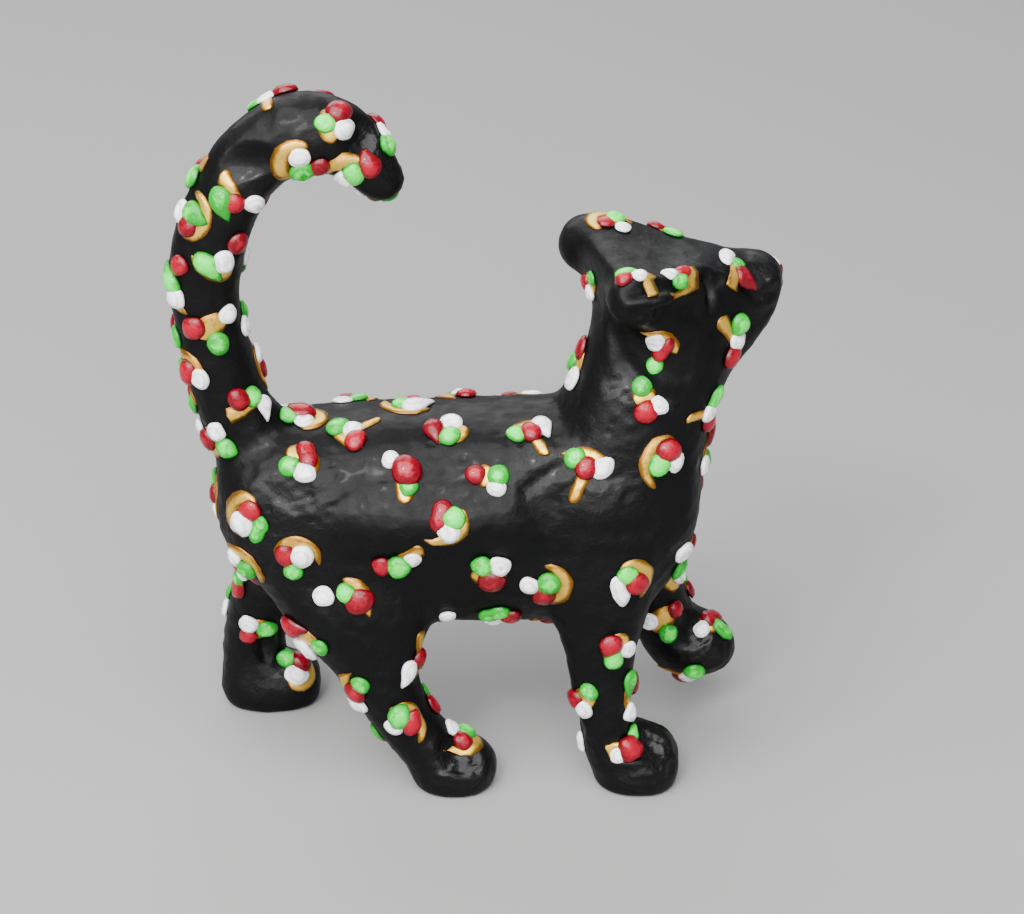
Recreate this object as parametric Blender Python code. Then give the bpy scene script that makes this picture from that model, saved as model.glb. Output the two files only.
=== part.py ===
"""Papier-mache cat ornament: a walking cat shaped in paper pulp, one closed solid.

The cat faces +X, its left side is +Y, and it stands on three flat soles at z = 0 with its
left front paw raised and its head turned a little to its left. Sizes are in millimetres, and
MM turns them into the metres of the mesh. Every limb is a loft through a few sections, the
limbs are fused into one skin, the skin is pressed where thumbs shaped the pulp, and the floor
trims the soles. The sections are placed from a point under the loins, and the finished cat is
then moved so that the middle of its footprint is the origin.
"""

import math
from dataclasses import dataclass

import bmesh
import bpy
import numpy as np
from mathutils import Matrix, Vector, noise

MM = 0.001

NODE_NAME = "papier_mache_cat"

# Driving sizes of the cat.
BODY_HALF_WIDTH = 22.0
BODY_HALF_HEIGHT = 27.0
BODY_AXIS_HEIGHT = 65.5
LEG_SPREAD = 17.0
PAW_HALF_WIDTH = 10.5
HEAD_TURN = math.radians(18.0)
HEAD_PIVOT = (32.0, 0.0)
EAR_SPREAD = 17.5
NAPE = (33.0, 0.0, 98.0)

# How the skin is made.
RING_SIDES = 32
STEPS_BETWEEN_SECTIONS = 6
CAP_STEPS = 5
FUSING_VOXEL = 1.3
SMOOTHING_PASSES = 16
TRIANGLE_TARGET = 8800
EVENING_PASSES = 3
SLIVER_WIDTH = 0.1

# The block that trims the soles, its top at the floor.
FLOOR_SIDE = 240.0
FLOOR_DEPTH = 30.0

# The slow unevenness that paper pulp keeps after it dries.
PULP_LUMP_HEIGHT = 0.35
PULP_LUMP_SPACING = 13.0
PULP_SEED = Vector((3.1, 7.7, 1.9))

BLACK_PAINT = (0.012, 0.012, 0.013, 1.0)
BLACK_PAINT_ROUGHNESS = 0.32


@dataclass(frozen=True)
class Section:
    """One cross-section of a limb: its centre, and half its size sideways and across."""

    x: float
    y: float
    z: float
    half_width: float
    half_depth: float


@dataclass(frozen=True)
class Limb:
    """A closed loft through sections.

    Its rings are superellipses: 2 is round, and more is squarer. The crown is the upper half
    of a ring, and the base is its lower half. The rings stand square to the limb's route, or
    square to the facing where one is given.
    """

    sections: tuple
    crown_squareness: float = 2.0
    base_squareness: float = 2.0
    start_cap: float = 0.7
    end_cap: float = 0.7
    facing: tuple = ()


@dataclass(frozen=True)
class Bulge:
    """A rounded pad of pulp: its centre, its half sizes, and its pitch and yaw in degrees.

    It is an ellipsoid at a squareness of 2, and boxier above that.
    """

    centre: tuple
    half_sizes: tuple
    pitch: float = 0.0
    yaw: float = 0.0
    squareness: float = 2.0


@dataclass(frozen=True)
class Press:
    """A soft dent, or a pad where depth is negative, pushed into the skin around a place."""

    centre: tuple
    half_sizes: tuple
    depth: float


def torso() -> Limb:
    """The barrel of the body, from the rump to the chest."""
    width = BODY_HALF_WIDTH
    height = BODY_HALF_HEIGHT
    axis = BODY_AXIS_HEIGHT
    return Limb(
        (
            Section(-54.0, 0.0, axis + 5.5, 0.66 * width, 0.46 * height),
            Section(-50.0, 0.0, axis + 3.5, 0.82 * width, 0.66 * height),
            Section(-42.0, 0.0, axis + 1.0, 0.95 * width, 0.86 * height),
            Section(-30.0, 0.0, axis - 0.5, width, 0.96 * height),
            Section(-8.0, 0.0, axis, width, height),
            Section(18.0, 0.0, axis + 0.5, width, height),
            Section(34.0, 0.0, axis + 1.5, 0.98 * width, 0.99 * height),
            Section(47.0, 0.0, axis + 3.5, 0.88 * width, 0.91 * height),
            Section(54.0, 0.0, axis + 6.5, 0.70 * width, 0.70 * height),
        ),
        crown_squareness=2.6,
        base_squareness=2.3,
        start_cap=0.3,
        end_cap=0.3,
        facing=(1.0, 0.0, 0.0),
    )


def neck() -> Limb:
    """The neck, rising forward from the shoulders into the skull."""
    return Limb(
        (
            Section(38.0, 0.0, 72.0, 20.0, 19.5),
            Section(41.0, 0.5, 87.0, 18.5, 18.7),
            Section(45.8, 1.5, 101.0, 15.5, 17.2),
            Section(49.4, 3.0, 113.0, 14.0, 17.1),
        ),
        crown_squareness=2.2,
        base_squareness=2.2,
    )


def head_point(along: float, sideways: float, height: float) -> tuple:
    """A place on the turned head: along its own length, to its left, and above the floor."""
    turn = Matrix.Rotation(HEAD_TURN, 2)
    offset = turn @ Vector((along, sideways))
    return (HEAD_PIVOT[0] + offset.x, HEAD_PIVOT[1] + offset.y, height)


def skull() -> Limb:
    """The flat-topped wedge of the head, from the back of the skull to the blunt muzzle."""
    profile = (
        (1.5, 133.5, 121.5, 13.5),
        (5.0, 134.0, 115.5, 15.5),
        (10.0, 134.0, 108.5, 17.0),
        (18.0, 133.0, 102.5, 17.0),
        (28.0, 130.5, 98.5, 14.0),
        (36.0, 127.2, 103.0, 10.5),
        (42.0, 127.4, 110.5, 9.0),
    )
    sections = []
    for along, top, bottom, half_width in profile:
        centre = head_point(along, 0.0, 0.5 * (top + bottom))
        sections.append(Section(*centre, half_width, 0.5 * (top - bottom)))
    return Limb(
        tuple(sections),
        crown_squareness=3.8,
        base_squareness=2.5,
        start_cap=0.2,
        end_cap=0.5,
        facing=(math.cos(HEAD_TURN), math.sin(HEAD_TURN), 0.0),
    )


def ear(side: int) -> Limb:
    """A thick round ear, leaning back and out from a corner of the skull, flush with its top."""
    return Limb(
        (
            Section(*head_point(17.0, side * 9.0, 123.5), 7.5, 7.5),
            Section(*head_point(9.0, side * 13.5, 126.0), 7.2, 7.2),
            Section(*head_point(2.5, side * EAR_SPREAD, 128.0), 6.6, 6.4),
        ),
        crown_squareness=2.4,
        base_squareness=2.2,
        end_cap=0.8,
    )


def tail() -> Limb:
    """The tail, standing up from the rump and hooking forward over the back."""
    route = (
        (-44.0, 78.0, 12.0),
        (-50.6, 90.0, 9.6),
        (-54.8, 104.0, 8.4),
        (-57.7, 121.0, 8.2),
        (-55.6, 137.0, 8.6),
        (-49.2, 151.0, 8.6),
        (-40.5, 160.0, 9.0),
        (-31.0, 162.6, 9.4),
        (-22.0, 158.6, 7.6),
        (-14.8, 149.6, 5.8),
    )
    sections = tuple(Section(x, 0.0, z, radius, radius) for x, z, radius in route)
    return Limb(sections, end_cap=0.6)


def legs() -> list:
    """Four tapering legs: both hind ones and the right front one reach the floor."""
    right = -LEG_SPREAD
    left = LEG_SPREAD
    return [
        # The right front leg.
        Limb(
            (
                Section(35.0, 0.75 * right, 62.0, 10.5, 15.0),
                Section(34.5, 0.85 * right, 46.0, 9.5, 12.0),
                Section(35.0, 0.95 * right, 32.0, 8.0, 8.2),
                Section(35.5, right, 20.0, 7.5, 6.8),
                Section(39.0, right, 8.0, 8.5, 8.0),
            ),
        ),
        # The left front leg.
        Limb(
            (
                Section(40.0, 0.70 * left, 64.0, 11.0, 12.0),
                Section(43.5, 0.85 * left, 48.0, 10.0, 10.5),
                Section(47.0, left, 35.0, 9.0, 9.0),
                Section(52.0, 1.05 * left, 24.0, 9.0, 8.5),
            ),
        ),
        # The right hind leg.
        Limb(
            (
                Section(-28.5, 0.70 * right, 58.0, 11.0, 19.0),
                Section(-22.0, 0.85 * right, 44.0, 10.5, 17.0),
                Section(-18.9, 0.97 * right, 31.0, 9.0, 10.4),
                Section(-13.6, right, 18.0, 8.0, 7.5),
                Section(-5.5, right, 8.0, 8.5, 7.5),
            ),
        ),
        # The left hind leg.
        Limb(
            (
                Section(-38.0, 0.70 * left, 60.0, 11.0, 13.0),
                Section(-44.5, 0.90 * left, 45.0, 10.0, 9.8),
                Section(-49.5, 1.10 * left, 30.0, 8.5, 8.5),
                Section(-53.0, 1.20 * left, 16.0, 8.0, 8.0),
                Section(-53.0, 1.20 * left, 8.0, 8.5, 8.0),
            ),
        ),
    ]


def paws() -> list:
    """Four round paws: three that the floor cuts flat, and the raised one."""
    right = -LEG_SPREAD
    left = LEG_SPREAD
    width = PAW_HALF_WIDTH
    right_front = Bulge((43.8, right, 4.0), (11.2, width, 10.5), squareness=2.3)
    right_hind = Bulge((-1.0, right - 0.5, 3.2), (11.0, width, 9.2), squareness=2.3)
    left_hind = Bulge((-48.5, 1.2 * left, 4.0), (13.0, width, 10.0), squareness=2.5)
    left_front = Bulge((58.5, 1.05 * left, 17.8), (12.7, width, 9.3), pitch=14.0)
    return [right_front, right_hind, left_hind, left_front]


def muscles() -> list:
    """The pads of pulp that round the shoulders, haunches and cheeks."""
    pads = []
    for side in (1, -1):
        shoulder = Bulge((33.0, side * 10.5, 68.0), (14.0, 12.5, 22.0), pitch=-8.0)
        haunch = Bulge((-28.0, side * 11.5, 60.0), (18.0, 11.5, 20.0), pitch=25.0)
        cheek_centre = head_point(17.0, side * 8.5, 114.5)
        cheek = Bulge(cheek_centre, (11.0, 9.0, 9.5), yaw=math.degrees(HEAD_TURN))
        pads += [shoulder, haunch, cheek]
    return pads


def presses() -> list:
    """The hollows and pads that the fused skin is given by hand."""
    chest = (57.5, 0.0, 76.0)
    under_chest = (55.0, 0.0, 58.0)
    throat = (59.0, 1.0, 91.0)
    far_ear_crown = head_point(8.0, 14.0, 133.0)
    far_ear_root = head_point(0.0, 7.0, 118.0)
    muzzle_tip = head_point(45.0, 0.0, 121.5)
    marks = [
        Press(NAPE, (9.0, 14.0, 6.0), 1.2),
        Press(chest, (8.0, 15.0, 8.0), -1.1),
        Press(under_chest, (8.0, 16.0, 8.0), 1.5),
        Press(throat, (8.0, 16.0, 9.0), 1.0),
        Press(far_ear_crown, (17.0, 13.0, 10.0), -2.4),
        Press(far_ear_root, (7.0, 10.0, 9.0), -1.8),
        Press(muzzle_tip, (7.0, 9.0, 10.0), -1.7),
    ]
    for side in (1, -1):
        ear_cup = head_point(9.5, side * (EAR_SPREAD + 1.5), 124.0)
        eye_socket = head_point(26.0, side * 13.5, 125.0)
        jaw_crease = head_point(4.0, side * 14.0, 110.0)
        behind_shoulder = (24.0, side * 21.0, 76.0)
        marks += [
            Press(ear_cup, (7.0, 5.5, 5.0), 2.4),
            Press(eye_socket, (6.5, 6.0, 6.5), 1.4),
            Press(jaw_crease, (8.0, 9.0, 11.0), 1.5),
            Press(behind_shoulder, (9.0, 9.0, 18.0), 1.0),
        ]
    return marks


def smooth_route(values: np.ndarray) -> np.ndarray:
    """Rows through and between the given rows, along a Catmull-Rom curve."""
    padded = np.vstack([2 * values[0] - values[1], values, 2 * values[-1] - values[-2]])
    rows = []
    for index in range(1, len(padded) - 2):
        before, start, end, after = padded[index - 1 : index + 3]
        for step in range(STEPS_BETWEEN_SECTIONS):
            t = step / STEPS_BETWEEN_SECTIONS
            rows.append(
                0.5
                * (
                    2 * start
                    + (end - before) * t
                    + (2 * before - 5 * start + 4 * end - after) * t**2
                    + (3 * start - before - 3 * end + after) * t**3
                )
            )
    rows.append(values[-1])
    return np.array(rows)


def cap_rows(end: np.ndarray, outward: np.ndarray, fullness: float) -> list:
    """Rows that close an end as a dome, out from it and ever smaller."""
    reach = fullness * min(end[3], end[4])
    rows = []
    for step in range(1, CAP_STEPS):
        angle = 0.5 * math.pi * step / CAP_STEPS
        row = end.copy()
        row[:3] += outward * reach * math.sin(angle)
        row[3:] *= math.cos(angle)
        rows.append(row)
    return rows


def ring_offset(turn: float, squareness: float) -> tuple:
    """The place on a unit superellipse at a turn from 0 to 1."""
    angle = 2 * math.pi * turn
    power = 2.0 / squareness
    across = math.copysign(abs(math.cos(angle)) ** power, math.cos(angle))
    up = math.copysign(abs(math.sin(angle)) ** power, math.sin(angle))
    return across, up


def add_limb(mesh: bmesh.types.BMesh, limb: Limb) -> None:
    """Add one limb to the mesh as a closed tube with domed ends."""
    given = np.array([(s.x, s.y, s.z, s.half_width, s.half_depth) for s in limb.sections])
    rows = smooth_route(given)
    first = rows[0, :3] - rows[1, :3]
    last = rows[-1, :3] - rows[-2, :3]
    first /= np.linalg.norm(first)
    last /= np.linalg.norm(last)
    start_rows = cap_rows(rows[0], first, limb.start_cap)[::-1]
    end_rows = cap_rows(rows[-1], last, limb.end_cap)
    start_tip = rows[0, :3] + first * limb.start_cap * min(rows[0, 3:])
    end_tip = rows[-1, :3] + last * limb.end_cap * min(rows[-1, 3:])
    rows = np.vstack(start_rows + [rows] + end_rows)
    tangents = np.gradient(rows[:, :3], axis=0)
    rings = []
    for row, tangent in zip(rows, tangents):
        forward = Vector(limb.facing or tangent).normalized()
        side = (Vector((0, 1, 0)) - forward * forward.y).normalized()
        up = forward.cross(side)
        ring = []
        for index in range(RING_SIDES):
            upper = (2 * index < RING_SIDES) == (up.z > 0)
            squareness = limb.crown_squareness if upper else limb.base_squareness
            across, rise = ring_offset(index / RING_SIDES, squareness)
            place = Vector(row[:3]) + side * across * row[3] + up * rise * row[4]
            ring.append(mesh.verts.new(place * MM))
        rings.append(ring)
    for lower, upper in zip(rings, rings[1:]):
        for index in range(RING_SIDES):
            follow = (index + 1) % RING_SIDES
            mesh.faces.new((lower[index], lower[follow], upper[follow], upper[index]))
    start_pole = mesh.verts.new(Vector(start_tip) * MM)
    end_pole = mesh.verts.new(Vector(end_tip) * MM)
    for index in range(RING_SIDES):
        follow = (index + 1) % RING_SIDES
        mesh.faces.new((rings[0][follow], rings[0][index], start_pole))
        mesh.faces.new((rings[-1][index], rings[-1][follow], end_pole))


def turned_frame(yaw: float, pitch: float) -> Matrix:
    """The rotation for a yaw about Z and then a nose-down pitch, in degrees."""
    turn = Matrix.Rotation(math.radians(yaw), 4, "Z")
    return turn @ Matrix.Rotation(math.radians(pitch), 4, "Y")


def add_bulge(mesh: bmesh.types.BMesh, bulge: Bulge) -> None:
    """Add one rounded pad to the mesh."""
    place = Matrix.Translation(Vector(bulge.centre) * MM)
    size = Matrix.Diagonal([half * MM for half in bulge.half_sizes] + [1.0])
    ball = bmesh.ops.create_uvsphere(
        mesh, u_segments=RING_SIDES, v_segments=RING_SIDES // 2, radius=1.0
    )
    for vertex in ball["verts"]:
        reach = sum(abs(axis) ** bulge.squareness for axis in vertex.co) ** (1 / bulge.squareness)
        vertex.co /= reach
    shape = place @ turned_frame(bulge.yaw, bulge.pitch) @ size
    bmesh.ops.transform(mesh, matrix=shape, verts=ball["verts"])


def overlapping_limbs() -> bpy.types.Mesh:
    """All limbs and bulges in one mesh, each still a closed shape of its own."""
    mesh = bmesh.new()
    for limb in [torso(), neck(), skull(), ear(1), ear(-1), tail(), *legs()]:
        add_limb(mesh, limb)
    for bulge in [*paws(), *muscles()]:
        add_bulge(mesh, bulge)
    bmesh.ops.recalc_face_normals(mesh, faces=mesh.faces)
    shapes = bpy.data.meshes.new("overlapping_limbs")
    mesh.to_mesh(shapes)
    mesh.free()
    return shapes


def fused_skin(shapes: bpy.types.Mesh) -> bpy.types.Mesh:
    """One skin around all the limbs, with rounded joints between them."""
    carrier = bpy.data.objects.new("carrier", shapes)
    bpy.context.collection.objects.link(carrier)
    remesh = carrier.modifiers.new("fuse", "REMESH")
    remesh.mode = "VOXEL"
    remesh.voxel_size = FUSING_VOXEL * MM
    smooth = carrier.modifiers.new("round_joints", "SMOOTH")
    smooth.factor = 0.5
    smooth.iterations = SMOOTHING_PASSES
    evaluated = carrier.evaluated_get(bpy.context.evaluated_depsgraph_get())
    skin = bpy.data.meshes.new_from_object(evaluated)
    bpy.data.objects.remove(carrier)
    bpy.data.meshes.remove(shapes)
    return skin


def press_depths(places: np.ndarray, press: Press) -> np.ndarray:
    """How deep one press goes at each place, fading smoothly to nothing at its edge."""
    offsets = (places - np.array(press.centre)) / np.array(press.half_sizes)
    distance = np.linalg.norm(offsets, axis=1)
    fade = np.clip(1.0 - distance, 0.0, 1.0)
    return press.depth * fade * fade * (3.0 - 2.0 * fade)


def shape_by_hand(skin: bpy.types.Mesh) -> None:
    """Give the skin its presses and the slow lumps of dried pulp."""
    count = len(skin.vertices)
    places = np.empty(count * 3)
    normals = np.empty(count * 3)
    skin.vertices.foreach_get("co", places)
    skin.vertices.foreach_get("normal", normals)
    places = places.reshape(count, 3) / MM
    normals = normals.reshape(count, 3)
    inward = np.zeros(count)
    for press in presses():
        inward += press_depths(places, press)
    for index, place in enumerate(places):
        lump = noise.noise(Vector(place) / PULP_LUMP_SPACING + PULP_SEED)
        inward[index] += PULP_LUMP_HEIGHT * lump
    places -= normals * inward[:, None]
    skin.vertices.foreach_set("co", (places * MM).ravel())
    skin.update()


def centre_footprint(skin: bpy.types.Mesh) -> None:
    """Move the skin so that the origin is under the middle of its bounding box."""
    places = np.empty(len(skin.vertices) * 3)
    skin.vertices.foreach_get("co", places)
    corners = places.reshape(-1, 3)[:, :2]
    middle = 0.5 * (corners.min(axis=0) + corners.max(axis=0))
    skin.transform(Matrix.Translation((-middle[0], -middle[1], 0.0)))


def black_paint() -> bpy.types.Material:
    """Varnished black paint over paper."""
    paint = bpy.data.materials.new("black_paint")
    paint.use_nodes = True
    shader = paint.node_tree.nodes["Principled BSDF"]
    shader.inputs["Base Color"].default_value = BLACK_PAINT
    shader.inputs["Roughness"].default_value = BLACK_PAINT_ROUGHNESS
    shader.inputs["Metallic"].default_value = 0.0
    return paint


def floor_cutter() -> bpy.types.Object:
    """A hidden block whose top face trims the soles flat."""
    side = FLOOR_SIDE * MM
    depth = FLOOR_DEPTH * MM
    mesh = bmesh.new()
    bmesh.ops.create_cube(
        mesh,
        size=1.0,
        matrix=Matrix.Translation((0.0, 0.0, -depth / 2)) @ Matrix.Diagonal((side, side, depth, 1.0)),
    )
    block = bpy.data.meshes.new("floor_cutter")
    mesh.to_mesh(block)
    mesh.free()
    cutter = bpy.data.objects.new("floor_cutter", block)
    cutter.hide_render = True
    cutter.display_type = "WIRE"
    bpy.context.collection.objects.link(cutter)
    return cutter


def build_cat() -> bpy.types.Object:
    """The whole cat as one object."""
    skin = fused_skin(overlapping_limbs())
    shape_by_hand(skin)
    centre_footprint(skin)
    skin.name = NODE_NAME
    skin.shade_smooth()
    skin.materials.append(black_paint())
    cat = bpy.data.objects.new(NODE_NAME, skin)
    bpy.context.collection.objects.link(cat)
    triangles = 2 * len(skin.polygons)
    thin = cat.modifiers.new("fewer_faces", "DECIMATE")
    thin.ratio = TRIANGLE_TARGET / triangles
    thin.use_collapse_triangulate = True
    relax = cat.modifiers.new("even_faces", "SMOOTH")
    relax.factor = 0.5
    relax.iterations = EVENING_PASSES
    soles = cat.modifiers.new("flat_soles", "BOOLEAN")
    soles.operation = "DIFFERENCE"
    soles.solver = "EXACT"
    soles.object = floor_cutter()
    weld = cat.modifiers.new("no_slivers", "WELD")
    weld.merge_threshold = SLIVER_WIDTH * MM
    return cat


for leftover in list(bpy.data.objects):
    bpy.data.objects.remove(leftover, do_unlink=True)
build_cat()
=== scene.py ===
"""The looks of a papier-mache cat: a lumpy skin of varnished pulp with dabs of raised paint.

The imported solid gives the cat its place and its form. A finer skin takes that form, gets the
folds, thumb marks and pits that wet pulp keeps, and stands for the solid. Small heaps of paint,
each a flat splash of gold with red, green and white dots on it, are then laid all over the skin
in staggered rings around the body, neck, head, tail and legs.
"""

import logging
import math
import random
from dataclasses import dataclass
from enum import Enum

import bpy
import numpy as np
from mathutils import Matrix, Vector, noise
from mathutils.bvhtree import BVHTree


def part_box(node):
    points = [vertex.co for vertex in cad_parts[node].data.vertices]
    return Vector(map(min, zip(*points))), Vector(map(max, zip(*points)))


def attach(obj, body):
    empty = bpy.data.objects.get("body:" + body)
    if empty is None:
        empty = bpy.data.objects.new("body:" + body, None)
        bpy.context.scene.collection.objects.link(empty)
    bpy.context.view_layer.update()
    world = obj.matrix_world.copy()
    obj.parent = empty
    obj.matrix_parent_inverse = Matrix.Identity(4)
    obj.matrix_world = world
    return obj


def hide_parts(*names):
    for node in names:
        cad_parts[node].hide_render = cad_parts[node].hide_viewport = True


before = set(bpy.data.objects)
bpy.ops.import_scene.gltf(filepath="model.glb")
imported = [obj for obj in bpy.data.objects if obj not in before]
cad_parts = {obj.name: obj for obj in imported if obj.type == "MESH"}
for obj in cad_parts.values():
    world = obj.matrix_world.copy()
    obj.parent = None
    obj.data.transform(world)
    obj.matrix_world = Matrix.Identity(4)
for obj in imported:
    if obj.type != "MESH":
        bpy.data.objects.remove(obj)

MM = 0.001
NODE = "papier_mache_cat"
BODY = "root"
NOISE_SEED = 5

log = logging.getLogger("cat")

Share = tuple[float, float, float]
Colour = tuple[float, float, float]

# A dot's place along and across its heap in dot radii, its size, and its height over a plain dot's.
Dot = tuple[float, float, float, float]


# ---- Helpers for places, meshes and shaders ----


@dataclass(frozen=True)
class FrameBox:
    """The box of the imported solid, in which every place is a share of its three sides."""

    low: Vector
    high: Vector

    def at(self, share: Share) -> Vector:
        """The point at these shares of the box, each from 0 to 1."""
        return Vector(a + (b - a) * s for a, b, s in zip(self.low, self.high, share))


def unit(vector: np.ndarray) -> np.ndarray:
    """The rows of an array, each brought to a length of 1."""
    return vector / np.maximum(np.linalg.norm(vector, axis=-1, keepdims=True), 1e-12)


def rounded_fade(distance: np.ndarray) -> np.ndarray:
    """A soft bell: 1 at a distance of 0, falling to 0 at a distance of 1."""
    near = np.clip(1.0 - distance, 0.0, 1.0)
    return near * near * (3.0 - 2.0 * near)


def nearness(places: np.ndarray, middle: Vector | np.ndarray, spread: float) -> np.ndarray:
    """How near each place is to a middle: 1 there, falling softly to 0 at the spread."""
    return rounded_fade(np.linalg.norm(places - np.array(middle), axis=1) / spread)


def ridge(spot: Vector, sharpness: int) -> float:
    """Noise folded at its middle: 1 along thin lines, and lower between them the sharper they are."""
    return (1.0 - abs(noise.noise(spot))) ** sharpness


def deselect_all() -> None:
    """Leave nothing selected, so that an operator acts only on what is picked next."""
    bpy.ops.object.select_all(action="DESELECT")


def pick(piece: bpy.types.Object) -> None:
    """Make one object the only selected and the active one.

    Args:
        piece: The object that the next operators act on.
    """
    deselect_all()
    piece.select_set(True)
    bpy.context.view_layer.objects.active = piece


def start_editing() -> None:
    """Go to edit mode with the whole of the active mesh selected."""
    bpy.ops.object.mode_set(mode="EDIT")
    bpy.ops.mesh.select_all(action="SELECT")


def extrude_down(depth: float) -> None:
    """Extrude what is selected straight down, in edit mode, and select the whole mesh again."""
    bpy.ops.mesh.extrude_region_move(TRANSFORM_OT_translate={"value": (0.0, 0.0, -depth)})
    bpy.ops.mesh.select_all(action="SELECT")


def finish_editing() -> None:
    """Turn all faces outward and leave edit mode."""
    bpy.ops.mesh.normals_make_consistent(inside=False)
    bpy.ops.object.mode_set(mode="OBJECT")


def rows_of(piece: bpy.types.Object, field: str) -> np.ndarray:
    """A vector of each vertex of a mesh.

    Args:
        piece: The object with the mesh.
        field: Which vector, by Blender's name for it.

    Returns:
        One row of three numbers for each vertex.
    """
    flat = np.empty(len(piece.data.vertices) * 3)
    piece.data.vertices.foreach_get(field, flat)
    return flat.reshape(-1, 3)


def places_of(piece: bpy.types.Object) -> np.ndarray:
    """The places of a mesh's vertices, one row each."""
    return rows_of(piece, "co")


def normals_of(piece: bpy.types.Object) -> np.ndarray:
    """The normals of a mesh's vertices, one row each."""
    return rows_of(piece, "normal")


def set_places(piece: bpy.types.Object, places: np.ndarray) -> None:
    """Move a mesh's vertices to the given rows."""
    piece.data.vertices.foreach_set("co", np.ascontiguousarray(places).ravel())
    piece.data.update()


def note(piece: bpy.types.Object, name: str, values: np.ndarray) -> None:
    """Store a number at each vertex of a mesh for its finish to read."""
    attribute = piece.data.attributes.new(name, "FLOAT", "POINT")
    attribute.data.foreach_set("value", values.astype(np.float32))


def apply_modifier(piece: bpy.types.Object, kind: str, **settings: object) -> None:
    """Add a modifier, set it up and apply it.

    Args:
        piece: The object to finish.
        kind: Blender's name for the modifier.
        settings: The modifier's properties and their values.
    """
    pick(piece)
    modifier = piece.modifiers.new(kind.lower(), kind)
    for name, value in settings.items():
        setattr(modifier, name, value)
    bpy.ops.object.modifier_apply(modifier=modifier.name)


class Wire:
    """An output of a shader node, which arithmetic extends with Math nodes."""

    def __init__(self, graph: "Graph", socket: bpy.types.NodeSocket) -> None:
        """Hold one output socket and the graph that it is in."""
        self.graph = graph
        self.socket = socket

    def __add__(self, other: "Wire | float") -> "Wire":
        """This plus other."""
        return self.graph.maths("ADD", self, other)

    __radd__ = __add__

    def __sub__(self, other: "Wire | float") -> "Wire":
        """This minus other."""
        return self.graph.maths("SUBTRACT", self, other)

    def __rsub__(self, other: float) -> "Wire":
        """Other minus this."""
        return self.graph.maths("SUBTRACT", other, self)

    def __mul__(self, other: "Wire | float") -> "Wire":
        """This times other."""
        return self.graph.maths("MULTIPLY", self, other)

    __rmul__ = __mul__


class Graph:
    """The node tree of one material, built around its Principled shader."""

    def __init__(self, name: str) -> None:
        """Start a material with nothing but its shader.

        Args:
            name: The material's name.
        """
        self.material = bpy.data.materials.new(name)
        self.material.use_nodes = True
        self.tree = self.material.node_tree
        self.shader = self.tree.nodes["Principled BSDF"]

    def node(self, kind: str, settings: dict, inputs: dict, output: int | str = 0) -> Wire:
        """Add any node.

        Args:
            kind: The node's type.
            settings: Its properties, set before anything is linked.
            inputs: A value or a Wire for each input, by name or by number.
            output: The output that is wanted, by name or by number.

        Returns:
            The wanted output.
        """
        made = self.tree.nodes.new(kind)
        for name, value in settings.items():
            setattr(made, name, value)
        for name, value in inputs.items():
            self._feed(made.inputs[name], value)
        return Wire(self, made.outputs[output])

    def _feed(self, socket: bpy.types.NodeSocket, value: object) -> None:
        """Link a Wire to a socket, or set the socket's own value.

        Args:
            socket: The input to feed.
            value: A Wire, a number or a colour.
        """
        if isinstance(value, Wire):
            self.tree.links.new(value.socket, socket)
        elif isinstance(value, tuple) and len(value) == 3 and socket.type == "RGBA":
            socket.default_value = (*value, 1.0)
        else:
            socket.default_value = value

    def maths(self, operation: str, first: Wire | float, second: Wire | float) -> Wire:
        """One Math node on two values."""
        return self.node("ShaderNodeMath", {"operation": operation}, {0: first, 1: second})

    def mixed(self, factor: Wire | float, first: Wire | Colour, second: Wire | Colour) -> Wire:
        """A colour between two others."""
        inputs = {0: factor, 6: first, 7: second}
        return self.node("ShaderNodeMix", {"data_type": "RGBA"}, inputs, 2)

    def place(self) -> Wire:
        """The place on the object, in metres."""
        return self.node("ShaderNodeTexCoord", {}, {}, "Object")

    def attribute(self, name: str) -> Wire:
        """A number that the mesh holds at each vertex."""
        return self.node("ShaderNodeAttribute", {"attribute_name": name}, {}, "Fac")

    def grain(self, size: float, detail: float = 2.0, roughness: float = 0.5) -> Wire:
        """Soft noise from 0 to 1, with lumps of about the given size in metres."""
        inputs = {"Vector": self.place(), "Scale": 1.0 / size, "Detail": detail, "Roughness": roughness}
        return self.node("ShaderNodeTexNoise", {}, inputs)

    def cells(self, size: float) -> Wire:
        """The distance to the nearest of many scattered points, about size metres apart."""
        inputs = {"Vector": self.place(), "Scale": 1.0 / size}
        return self.node("ShaderNodeTexVoronoi", {"feature": "F1"}, inputs, "Distance")

    def ridged(self, value: Wire) -> Wire:
        """Noise from 0 to 1 folded at its middle, so that thin ridges run through it."""
        return 1 - self.node("ShaderNodeMath", {"operation": "ABSOLUTE"}, {0: value * 2 - 1}) * 4

    def between(self, value: Wire, low: float, high: float) -> Wire:
        """How far a value is from low to high, eased and kept from 0 to 1."""
        inputs = {"Value": value, "From Min": low, "From Max": high}
        return self.node("ShaderNodeMapRange", {"interpolation_type": "SMOOTHSTEP"}, inputs)

    def bump(self, height: Wire, depth: float, strength: float) -> Wire:
        """A normal that follows a height, which is depth metres at 1."""
        inputs = {"Height": height, "Distance": depth, "Strength": strength}
        return self.node("ShaderNodeBump", {}, inputs)

    def finish(self, **inputs: object) -> bpy.types.Material:
        """Set or link the shader's own inputs.

        Args:
            inputs: A value or a Wire for each input, named with underscores for spaces.

        Returns:
            The material.
        """
        for name, value in inputs.items():
            self._feed(self.shader.inputs[name.replace("_", " ")], value)
        return self.material


# ---- Finishes ----


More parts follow.
